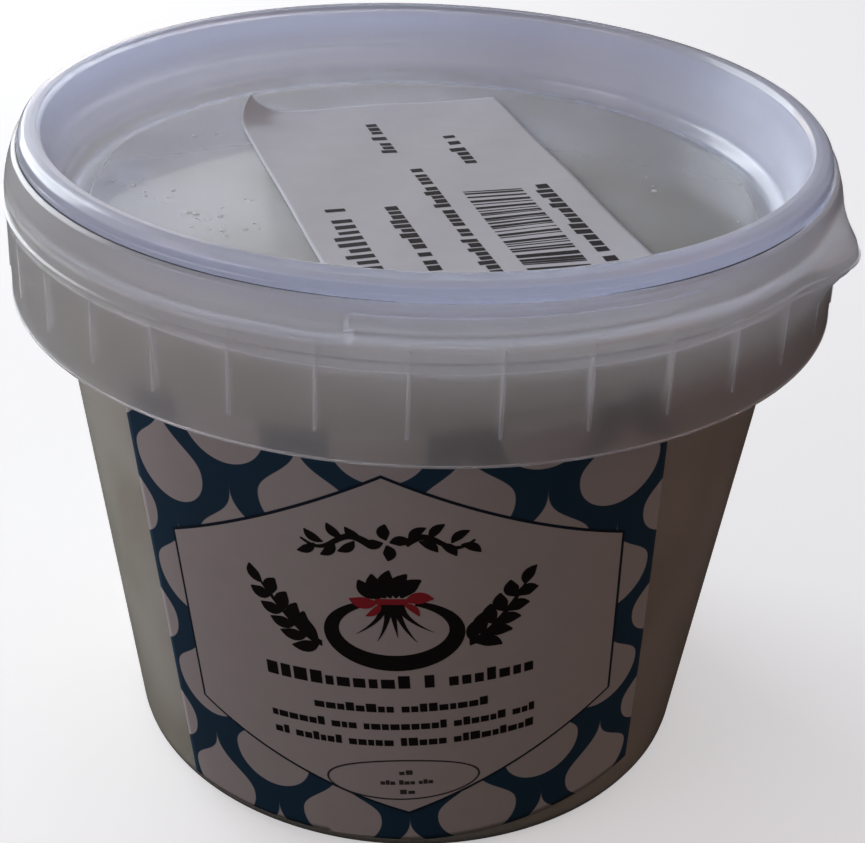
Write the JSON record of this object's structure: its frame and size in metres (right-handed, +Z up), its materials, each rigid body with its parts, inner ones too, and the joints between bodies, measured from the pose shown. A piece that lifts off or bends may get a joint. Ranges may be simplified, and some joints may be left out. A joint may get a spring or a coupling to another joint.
{
  "type": "burrata pot",
  "caption": "Shut round plastic pot of burrata in whey, with a skirted collar, a press-on lid with a sunken centre, a wrap label and a paper sticker on the lid.",
  "frame": {"origin": "centre of the pot's base, on the surface it stands on", "axes": "+Z up along the pot's axis; the label faces -Y"},
  "size_m": [0.1002, 0.1002, 0.0825],
  "materials": {
    "tub_plastic": "frosted natural polypropylene",
    "lid_plastic": "clear moulded polypropylene",
    "whey_and_cheese": "cloudy wet whey",
    "printed_paper": "satin coated paper with a printed pattern",
    "white_paper": "matte thermal paper"
  },
  "bodies": {
    "root": {"tub": "tub_plastic", "lid": "lid_plastic", "contents": "whey_and_cheese", "label": "printed_paper", "lid_sticker": "white_paper"}
  },
  "joints": []
}
